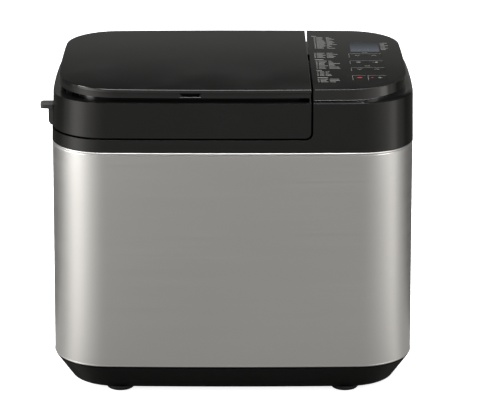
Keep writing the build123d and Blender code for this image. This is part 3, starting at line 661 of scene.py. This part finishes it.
# brightness of the surround by bearing: 0 behind, 0.25 left, 0.5 in front, 0.75 right, 1 behind
SURROUND = (
    (0.0, 0.12), (0.10, 0.08), (0.18, 0.10), (0.225, 0.18), (0.255, 0.62), (0.285, 1.50), (0.315, 2.00),
    (0.345, 1.80), (0.38, 1.10), (0.43, 0.62), (0.47, 0.42), (0.5, 0.39), (0.54, 0.39), (0.59, 0.50),
    (0.63, 0.66), (0.66, 0.85), (0.685, 1.10), (0.70, 1.60), (0.725, 1.50), (0.745, 0.50), (0.80, 0.08),
    (1.0, 0.12),
)
# brightness of the world by height: 0 at the horizon, 1 overhead
SKY = (
    (0.0, 0.30), (0.24, 0.30), (0.275, 0.28), (0.315, 0.03), (0.34, 0.0), (0.45, 0.0), (0.7, 0.08),
    (1.0, 0.14),
)
# share of the surround by distance from the case, and the shade under it, in metres from the feet
FLOOR_DEPTH = ((0.0, 0.3), (0.17, 0.42), (0.30, 0.58), (0.55, 0.80), (0.9, 1.0))
FLOOR_SHADE = ((0.0, 0.06), (0.07, 0.14), (0.12, 0.95), (0.15, 1.0))
FEET_HALF = (0.134, 0.063)
NEAR_GREY = (0.40, 0.396, 0.386, 1)
LENS = 171.9
LENS_SHIFT = 0.0153
CAMERA_PLACE = (MID_X, -2.427, 0.959)
CAMERA_DIP = 0.3101
LIGHT_TARGET = (MID_X, 0, 0.2)
KEY_PLACE, KEY_SPREAD = (0.0, -0.6, 2.4), (2.2, 1.6)
LEFT_PLACE, RIGHT_PLACE, SIDE_SPREAD = (-1.75, -0.5, 0.9), (1.6, -1.1, 0.95), (0.6, 1.2)


class StageSettings(bpy.types.PropertyGroup):
    key: bpy.props.FloatProperty(
        name="Key", description="Power of the large overhead light", default=150.0, min=0.0, unit="POWER"
    )
    left: bpy.props.FloatProperty(
        name="Left", description="Power of the left side light", default=30.0, min=0.0, unit="POWER"
    )
    right: bpy.props.FloatProperty(
        name="Right", description="Power of the right side light", default=14.0, min=0.0, unit="POWER"
    )
    surround: bpy.props.FloatProperty(
        name="Surround", description="Brightness of the floor in reflections", default=1.0, min=0.0,
        subtype="FACTOR"
    )
    floor_size: bpy.props.FloatProperty(
        name="Floor", description="Width of the floor", default=14.0, min=2.0, unit="LENGTH"
    )


def ramp_node(tree, marks):
    """Colour ramp of greys."""
    node = tree.nodes.new("ShaderNodeValToRGB")
    line = node.color_ramp
    line.elements[0].position, line.elements[1].position = marks[0][0], marks[-1][0]
    for position, _ in marks[1:-1]:
        line.elements.new(position)
    for element, (_, level) in zip(line.elements, marks):
        element.color = (level, level * 0.99, level * 0.965, 1)
    return node


def bearing_ramp(tree, vector):
    """Surround brightness by the bearing of a position or direction."""
    link = tree.links.new
    split = tree.nodes.new("ShaderNodeSeparateXYZ")
    bearing = tree.nodes.new("ShaderNodeMath")
    bearing.operation = "ARCTAN2"
    share = tree.nodes.new("ShaderNodeMapRange")
    share.inputs["From Min"].default_value = -math.pi
    share.inputs["From Max"].default_value = math.pi
    flip = tree.nodes.new("ShaderNodeMath")
    flip.operation = "MULTIPLY"
    flip.inputs[1].default_value = -1.0
    link(vector, split.inputs[0])
    link(split.outputs["Y"], flip.inputs[0])
    link(split.outputs["X"], bearing.inputs[0])
    link(flip.outputs[0], bearing.inputs[1])
    link(bearing.outputs[0], share.inputs["Value"])
    ramp = ramp_node(tree, SURROUND)
    link(share.outputs["Result"], ramp.inputs["Fac"])
    return ramp


def vector_math(tree, operation, vector, constant):
    """Result of a vector operation with a constant or another socket."""
    node = tree.nodes.new("ShaderNodeVectorMath")
    node.operation = operation
    tree.links.new(vector, node.inputs[0])
    if isinstance(constant, tuple):
        node.inputs[1].default_value = constant
    else:
        tree.links.new(constant, node.inputs[1])
    return node.outputs["Vector"]


def area_light(name, place, size, power):
    """Rectangular light aimed at the middle of the machine."""
    data = bpy.data.lights.new(name, "AREA")
    data.shape = "RECTANGLE"
    data.size, data.size_y = size
    data.energy = power
    made = add_object(name, data)
    made.location = place
    aim = Vector(LIGHT_TARGET) - Vector(place)
    made.rotation_euler = aim.to_track_quat("-Z", "Y").to_euler()
    return made


def floor_material(strength):
    """Pale floor: white to the eye, and a graded reflector in gloss."""
    made = bpy.data.materials.new("pale_floor")
    made.use_nodes = True
    tree = made.node_tree
    nodes, link = tree.nodes, tree.links.new
    nodes.clear()
    out = nodes.new("ShaderNodeOutputMaterial")
    seen = nodes.new("ShaderNodeBsdfDiffuse")
    seen.inputs["Color"].default_value = (0.95, 0.95, 0.95, 1)
    glow = nodes.new("ShaderNodeEmission")
    glow.inputs["Strength"].default_value = 0.85
    white = nodes.new("ShaderNodeAddShader")
    dim = nodes.new("ShaderNodeBsdfDiffuse")
    dim.inputs["Color"].default_value = (0.25, 0.25, 0.25, 1)
    card = nodes.new("ShaderNodeEmission")
    card.inputs["Strength"].default_value = strength
    place = nodes.new("ShaderNodeTexCoord")
    low = vector_math(tree, "MINIMUM", place.outputs["Object"], (MID_X + FEET_HALF[0], FEET_HALF[1], 0))
    near = vector_math(tree, "MAXIMUM", low, (MID_X - FEET_HALF[0], -FEET_HALF[1], 0))
    away = vector_math(tree, "SUBTRACT", place.outputs["Object"], near)
    ramp = bearing_ramp(tree, away)
    reach = nodes.new("ShaderNodeVectorMath")
    reach.operation = "LENGTH"
    depth = ramp_node(tree, FLOOR_DEPTH)
    fade = nodes.new("ShaderNodeMix")
    fade.data_type = "RGBA"
    fade.blend_type = "MULTIPLY"
    fade.inputs["Factor"].default_value = 1.0
    shade = ramp_node(tree, FLOOR_SHADE)
    mixed = nodes.new("ShaderNodeMix")
    mixed.data_type = "RGBA"
    mixed.inputs["A"].default_value = NEAR_GREY
    link(away, reach.inputs[0])
    link(reach.outputs["Value"], depth.inputs["Fac"])
    link(reach.outputs["Value"], shade.inputs["Fac"])
    link(depth.outputs["Color"], mixed.inputs["Factor"])
    link(ramp.outputs["Color"], mixed.inputs["B"])
    low_side = nodes.new("ShaderNodeMix")
    low_side.data_type = "RGBA"
    low_side.blend_type = "DARKEN"
    low_side.inputs["Factor"].default_value = 1.0
    link(mixed.outputs["Result"], low_side.inputs["A"])
    link(ramp.outputs["Color"], low_side.inputs["B"])
    link(low_side.outputs["Result"], fade.inputs["A"])
    link(shade.outputs["Color"], fade.inputs["B"])
    path = nodes.new("ShaderNodeLightPath")
    gloss = nodes.new("ShaderNodeMixShader")
    view = nodes.new("ShaderNodeMixShader")
    link(seen.outputs[0], white.inputs[0])
    link(glow.outputs[0], white.inputs[1])
    link(fade.outputs["Result"], card.inputs["Color"])
    link(path.outputs["Is Glossy Ray"], gloss.inputs[0])
    link(dim.outputs[0], gloss.inputs[1])
    link(card.outputs[0], gloss.inputs[2])
    link(path.outputs["Is Camera Ray"], view.inputs[0])
    link(gloss.outputs[0], view.inputs[1])
    link(white.outputs[0], view.inputs[2])
    link(view.outputs[0], out.inputs["Surface"])
    return made


def studio_world():
    """Soft surround: the floor's grading near the horizon, dim above it."""
    world = bpy.data.worlds.new("studio")
    bpy.context.scene.world = world
    world.use_nodes = True
    tree = world.node_tree
    nodes, link = tree.nodes, tree.links.new
    place = nodes.new("ShaderNodeTexCoord")
    split = nodes.new("ShaderNodeSeparateXYZ")
    sky = ramp_node(tree, SKY)
    around = bearing_ramp(tree, place.outputs["Generated"])
    side = nodes.new("ShaderNodeMapRange")
    side.inputs["From Min"].default_value = 0.0
    side.inputs["From Max"].default_value = 0.3
    side.inputs["To Min"].default_value = 1.0
    side.inputs["To Max"].default_value = 0.0
    front = nodes.new("ShaderNodeMapRange")
    front.inputs["From Min"].default_value = 0.35
    front.inputs["From Max"].default_value = -0.35
    both = nodes.new("ShaderNodeMath")
    both.operation = "MULTIPLY"
    pick = nodes.new("ShaderNodeMix")
    pick.data_type = "RGBA"
    link(place.outputs["Generated"], split.inputs[0])
    link(split.outputs["Z"], sky.inputs["Fac"])
    link(split.outputs["Z"], side.inputs["Value"])
    link(split.outputs["Y"], front.inputs["Value"])
    link(side.outputs["Result"], both.inputs[0])
    link(front.outputs["Result"], both.inputs[1])
    link(both.outputs[0], pick.inputs["Factor"])
    link(sky.outputs["Color"], pick.inputs["A"])
    link(around.outputs["Color"], pick.inputs["B"])
    link(pick.outputs["Result"], nodes["Background"].inputs["Color"])


def camera():
    data = bpy.data.cameras.new("camera")
    data.sensor_width = 36.0
    data.lens = LENS
    data.shift_x = LENS_SHIFT
    made = add_object("camera", data)
    made.location = CAMERA_PLACE
    made.rotation_euler = (math.pi / 2 - CAMERA_DIP, 0, 0)
    bpy.context.scene.camera = made


class BREADMACHINE_OT_stage(bpy.types.Operator):
    """Set up the floor, the soft lights and the camera"""

    bl_idname = "breadmachine.stage"
    bl_label = "Studio"

    def execute(self, context):
        given = context.scene.bread_machine_stage
        context.scene.view_settings.view_transform = "Standard"
        camera()
        studio_world()
        half = given.floor_size / 2
        corners = [(-half, -half, 0), (half, -half, 0), (half, half, 0), (-half, half, 0)]
        mesh = bpy.data.meshes.new("floor")
        mesh.from_pydata(corners, [], [(0, 1, 2, 3)])
        mesh.materials.append(floor_material(given.surround))
        add_object("floor", mesh)
        area_light("key_light", KEY_PLACE, KEY_SPREAD, given.key)
        area_light("left_light", LEFT_PLACE, SIDE_SPREAD, given.left)
        area_light("right_light", RIGHT_PLACE, SIDE_SPREAD, given.right)
        return {"FINISHED"}


# ---------------------------------------------------------------- console marks

INK_LIFT = 0.03
INK_T = 0.06
KEYS = {
    "timer_down_key": (136.3, 14.0), "timer_up_key": (154.6, 14.0),
    "option_down_key": (136.3, -13.0), "option_up_key": (154.6, -13.0),
    "menu_down_key": (136.3, -40.0), "menu_up_key": (154.6, -40.0),
    "stop_key": (134.6, -72.5), "start_key": (153.8, -72.5),
}


def on_top(x, y, lift):
    """Place over the sloping top, in millimetres from the case's middle."""
    turn = Matrix.Rotation(TOP_TILT, 4, "X")
    raised = Matrix.Translation((MID_X, 0, TOP_Z * MM))
    return raised @ turn @ Matrix.Translation((x * MM, y * MM, lift * MM))


class Marks:
    """Thin raised marks gathered into one mesh."""

    def __init__(self):
        self.work = bmesh.new()

    def strip(self, start, end, width):
        """Flat bar from one point to another."""
        start, end = Vector(start), Vector(end)
        along = end - start
        turn = Matrix.Rotation(math.atan2(along.y, along.x), 4, "Z")
        size = Matrix.Diagonal((along.length * MM, width * MM, INK_T * MM, 1))
        middle = (start + end) / 2
        place = on_top(middle.x, middle.y, INK_LIFT)
        bmesh.ops.create_cube(self.work, size=1, matrix=place @ turn @ size)

    def path(self, points, width):
        for start, end in zip(points, points[1:]):
            self.strip(start, end, width)

    def chevron(self, x, y, point, half=2.6, width=0.6):
        """Open arrowhead; point is 1 for up and -1 for down."""
        self.path([(x - half, y - point), (x, y + point), (x + half, y - point)], width)

    def disc(self, x, y, radius, stretch=1.0):
        size = Matrix.Diagonal((stretch, 1, 1, 1))
        bmesh.ops.create_cone(
            self.work, cap_ends=True, segments=24, radius1=radius * MM, radius2=radius * MM,
            depth=INK_T * MM, matrix=on_top(x, y, INK_LIFT) @ size,
        )

    def ring(self, x, y, radius, width, count=20):
        turns = [2 * math.pi * n / count for n in range(count + 1)]
        self.path([(x + radius * math.cos(a), y + radius * math.sin(a)) for a in turns], width)

    def piece(self, name, material, body, slot_name="gloss_black"):
        mesh = bpy.data.meshes.new(name)
        self.work.to_mesh(mesh)
        self.work.free()
        return settle(add_object(name, mesh), material, body)


def key_edge_highlight(marks, x0, x1, y0, y1, width=0.35):
    """Painted highlight along the left and upper edges of a raised key outline, with a rounded corner.
    """
    turn = [(x0 + 1.6 * (1 - math.cos(a)), y1 - 1.6 * (1 - math.sin(a))) for a in (0, 0.52, 1.05, 1.57)]
    marks.path([(x0, y0)] + turn + [(x1, y1)], width)


def key_icons():
    """Icon of each key, as a function that draws it at the key's middle."""
    def up(marks, x, y):
        marks.chevron(x, y, 1.3)

    def down(marks, x, y):
        marks.chevron(x, y, -1.3)

    def loop(marks, x, y):
        marks.ring(x, y, 1.9, 0.6)
        marks.disc(x, y, 0.6)

    def light(marks, x, y):
        marks.disc(x + 1.2, y, 1.6)
        marks.strip((x - 2.6, y), (x - 1.2, y), 0.4)

    def start(marks, x, y):
        ends = ((0.4, 0), (2.5, 1.8), (4.6, 0), (2.5, -1.8), (0.4, 0))
        marks.path([(x + right, y + up) for right, up in ends], 0.45)
        marks.strip((x + 2.5, y - 1.2), (x + 2.5, y + 1.2), 0.8)

    return {
        "timer_down_key": down, "timer_up_key": up, "option_down_key": loop, "option_up_key": light,
        "menu_down_key": down, "menu_up_key": up, "start_key": start,
    }


def bar_rows(name, x, y, widths, gap, height, seed):
    """Column of short bars standing for a list of words, made with Geometry Nodes.

    widths is the range of line lengths and how many lines there are.
    """
    tree = bpy.data.node_groups.get("bar_rows") or bar_rows_group()
    points = add_object(name, bpy.data.meshes.new(name))
    rows = points.modifiers.new("rows", "NODES")
    rows.node_group = tree
    low, high, count = widths
    values = {
        "Rows": count, "Gap": gap * MM, "Shortest": low * MM, "Longest": high * MM,
        "Height": height * MM, "Seed": seed, "Material": pale_print_and_highlight(),
    }
    for item in tree.interface.items_tree:
        if item.item_type == "SOCKET" and item.in_out == "INPUT" and item.name in values:
            rows[item.identifier] = values[item.name]
    apply_modifiers(points)
    points.data.transform(on_top(x, y, INK_LIFT))
    return points


def bar_rows_group():
    """Geometry Nodes tree: a column of bars with random lengths."""
    tree = bpy.data.node_groups.new("bar_rows", "GeometryNodeTree")
    face = tree.interface
    face.new_socket("Geometry", in_out="INPUT", socket_type="NodeSocketGeometry")
    for label, kind, value in (
        ("Rows", "NodeSocketInt", 6), ("Gap", "NodeSocketFloat", 0.003),
        ("Shortest", "NodeSocketFloat", 0.004), ("Longest", "NodeSocketFloat", 0.012),
        ("Height", "NodeSocketFloat", 0.001), ("Seed", "NodeSocketInt", 1),
    ):
        face.new_socket(label, in_out="INPUT", socket_type=kind).default_value = value
    face.new_socket("Material", in_out="INPUT", socket_type="NodeSocketMaterial")
    face.new_socket("Geometry", in_out="OUTPUT", socket_type="NodeSocketGeometry")
    nodes, link = tree.nodes, tree.links.new

    def math_node(operation, first=None, second=None):
        node = nodes.new("ShaderNodeMath")
        node.operation = operation
        for place, value in enumerate((first, second)):
            if isinstance(value, (int, float)):
                node.inputs[place].default_value = value
            elif value is not None:
                link(value, node.inputs[place])
        return node.outputs[0]

    given = nodes.new("NodeGroupInput")
    out = nodes.new("NodeGroupOutput")
    step = nodes.new("ShaderNodeCombineXYZ")
    link(math_node("MULTIPLY", given.outputs["Gap"], -1.0), step.inputs["Y"])
    line = nodes.new("GeometryNodeMeshLine")
    link(given.outputs["Rows"], line.inputs["Count"])
    link(step.outputs[0], line.inputs["Offset"])
    length = nodes.new("FunctionNodeRandomValue")
    link(given.outputs["Shortest"], length.inputs[2])
    link(given.outputs["Longest"], length.inputs[3])
    link(given.outputs["Seed"], length.inputs["Seed"])
    cube = nodes.new("GeometryNodeMeshCube")
    cube.inputs["Size"].default_value = (1, 1, 1)
    size = nodes.new("ShaderNodeCombineXYZ")
    link(length.outputs[1], size.inputs["X"])
    link(given.outputs["Height"], size.inputs["Y"])
    size.inputs["Z"].default_value = INK_T * MM
    shift = nodes.new("ShaderNodeCombineXYZ")
    link(math_node("MULTIPLY", length.outputs[1], 0.5), shift.inputs["X"])
    move = nodes.new("GeometryNodeSetPosition")
    link(line.outputs["Mesh"], move.inputs["Geometry"])
    link(shift.outputs[0], move.inputs["Offset"])
    spread = nodes.new("GeometryNodeInstanceOnPoints")
    link(move.outputs["Geometry"], spread.inputs["Points"])
    link(cube.outputs["Mesh"], spread.inputs["Instance"])
    link(size.outputs[0], spread.inputs["Scale"])
    real = nodes.new("GeometryNodeRealizeInstances")
    link(spread.outputs["Instances"], real.inputs["Geometry"])
    paint = nodes.new("GeometryNodeSetMaterial")
    link(real.outputs["Geometry"], paint.inputs["Geometry"])
    link(given.outputs["Material"], paint.inputs["Material"])
    link(paint.outputs["Geometry"], out.inputs["Geometry"])
    return tree


class InkSettings(bpy.types.PropertyGroup):
    # pale colours the printed icons and bars and also the painted highlights along the key edges
    pale: bpy.props.FloatVectorProperty(
        name="Marks", description="Colour of the printed lines and icons", default=(0.155, 0.155, 0.15),
        subtype="COLOR", min=0.0, max=1.0
    )
    red: bpy.props.FloatVectorProperty(
        name="Accent", description="Colour of the stop key's icon and the start lamp",
        default=(0.27, 0.014, 0.016), subtype="COLOR", min=0.0, max=1.0
    )


def pale_print_and_highlight():
    return printed("pale_ink_and_highlight", tuple(bpy.context.scene.bread_machine_inks.pale))


def print_red():
    return printed("red_ink", tuple(bpy.context.scene.bread_machine_inks.red))


class BREADMACHINE_OT_console_marks(bpy.types.Operator):
    """Paint highlights along the raised key outlines, and print the icons and the plain bars that stand
    for the menu lists
    """

    bl_idname = "breadmachine.console_marks"
    bl_label = "Console marks"

    def execute(self, context):
        outlines = Marks()
        # painted highlights where light catches the left and upper edges of the raised key outlines
        for y0, y1 in ((6.5, 21.3), (-19.6, -7.0), (-47.0, -33.9)):
            key_edge_highlight(outlines, 127.4, 163.0, y0, y1)
        key_edge_highlight(outlines, 127.2, 141.0, -82.4, -64.3)
        key_edge_highlight(outlines, 143.7, 163.4, -82.4, -64.3)
        for y in (25.2, -27.6):
            outlines.strip((142.4, y), (144.6, y), 1.0)
            outlines.strip((145.2, y), (148.2, y), 1.0)
        outlines.piece("key_highlights_and_dashes", pale_print_and_highlight(), "case")
        for key, draw in key_icons().items():
            icon = Marks()
            draw(icon, *KEYS[key])
            icon.piece(key.replace("_key", "_icon"), pale_print_and_highlight(), key)
        ticks = Marks()
        for x in (132.5, 138.5, 145.0, 152.0, 157.0):
            ticks.strip((x, 37.0), (x + 2.6, 37.0), 0.6)
        ticks.strip((149.6, 35.6), (149.6, 40.4), 0.5)
        ticks.piece("screen_segments", printed("segment_tint", (0.05, 0.056, 0.064)), "case", "screen")
        stop = Marks()
        stop.disc(*KEYS["stop_key"], 1.4, 2.1)
        stop.piece("stop_icon", print_red(), "stop_key")
        lamp = Marks()
        lamp.disc(KEYS["start_key"][0] - 5.7, KEYS["start_key"][1], 1.1)
        lamp.piece("start_lamp", print_red(), "start_key")
        lists = (
            ("list_a", 91.0, 88.5, 13, 3.75, 24.0, 1.0), ("list_b", 89.4, 23.2, 5, 4.3, 24.0, 1.2),
            ("list_c", 90.2, -8.6, 7, 4.7, 24.0, 1.2), ("list_d", 90.1, -50.4, 4, 4.7, 13.0, 1.2),
            ("list_e", 90.0, -78.6, 3, 4.9, 22.0, 1.3),
        )
        heads = ((88.6, 93.4, 5.5), (89.4, -2.4, 9.5), (89.9, -44.8, 5.5), (90.0, -73.0, 11.0))
        for seed, (name, x, y, count, gap, reach, height) in enumerate(lists):
            columns = (
                (0.0, 1.6, 1.8), (2.8, reach * 0.25, reach * 0.42),
                (3.6 + reach * 0.42, 0.8, reach * 0.5),
            )
            for n, (shift, low, high) in enumerate(columns):
                widths = (low, high, count)
                rows = bar_rows(f"{name}_{n}", x + shift, y, widths, gap, height, seed * 3 + n)
                settle(rows, pale_print_and_highlight(), "case")
        for n, (x, y, length) in enumerate(heads):
            row = bar_rows(f"list_head_{n}", x, y, (length, length, 1), 3.0, 1.5, 1)
            settle(row, pale_print_and_highlight(), "case")
        side = bar_rows("list_side", 163.9, 64.4, (4.0, 9.5, 6), 5.2, 1.2, 4)
        settle(side, pale_print_and_highlight(), "case")
        return {"FINISHED"}


PANEL = (
    ("bread_machine_steel", ("steel_case",)),
    ("bread_machine_shells", ("shells", "inner_parts", "trim")),
    ("bread_machine_inks", ("console_marks", "finishes")),
    ("bread_machine_stage", ("stage",)),
)


class BREADMACHINE_PT_sidebar(bpy.types.Panel):
    """Sizes, colours and builders of the bread machine"""

    bl_idname = "BREADMACHINE_PT_sidebar"
    bl_label = "Bread machine"
    bl_space_type = "VIEW_3D"
    bl_region_type = "UI"
    bl_category = "Bread machine"

    def draw(self, context):
        for name, builders in PANEL:
            box = self.layout.box()
            settings = getattr(context.scene, name)
            for key in type(settings).__annotations__:
                box.prop(settings, key)
            for builder in builders:
                box.operator(f"breadmachine.{builder}")


CLASSES = (
    SteelSettings, ShellSettings, InkSettings, StageSettings,
    BREADMACHINE_OT_steel_case, BREADMACHINE_OT_shells, BREADMACHINE_OT_trim,
    BREADMACHINE_OT_inner_parts, BREADMACHINE_OT_console_marks, BREADMACHINE_OT_finishes,
    BREADMACHINE_OT_stage, BREADMACHINE_PT_sidebar,
)
SETTINGS = {
    "bread_machine_steel": SteelSettings,
    "bread_machine_shells": ShellSettings,
    "bread_machine_inks": InkSettings,
    "bread_machine_stage": StageSettings,
}


def register():
    for made in CLASSES:
        bpy.utils.register_class(made)
    for name, kind in SETTINGS.items():
        setattr(bpy.types.Scene, name, bpy.props.PointerProperty(type=kind))


def unregister():
    for name in SETTINGS:
        delattr(bpy.types.Scene, name)
    for made in reversed(CLASSES):
        bpy.utils.unregister_class(made)


def main():
    register()
    bpy.ops.breadmachine.stage()
    bpy.ops.breadmachine.steel_case()
    bpy.ops.breadmachine.shells()
    bpy.ops.breadmachine.inner_parts()
    bpy.ops.breadmachine.trim()
    bpy.ops.breadmachine.console_marks()
    bpy.ops.breadmachine.finishes()


if __name__ == "__main__":
    main()
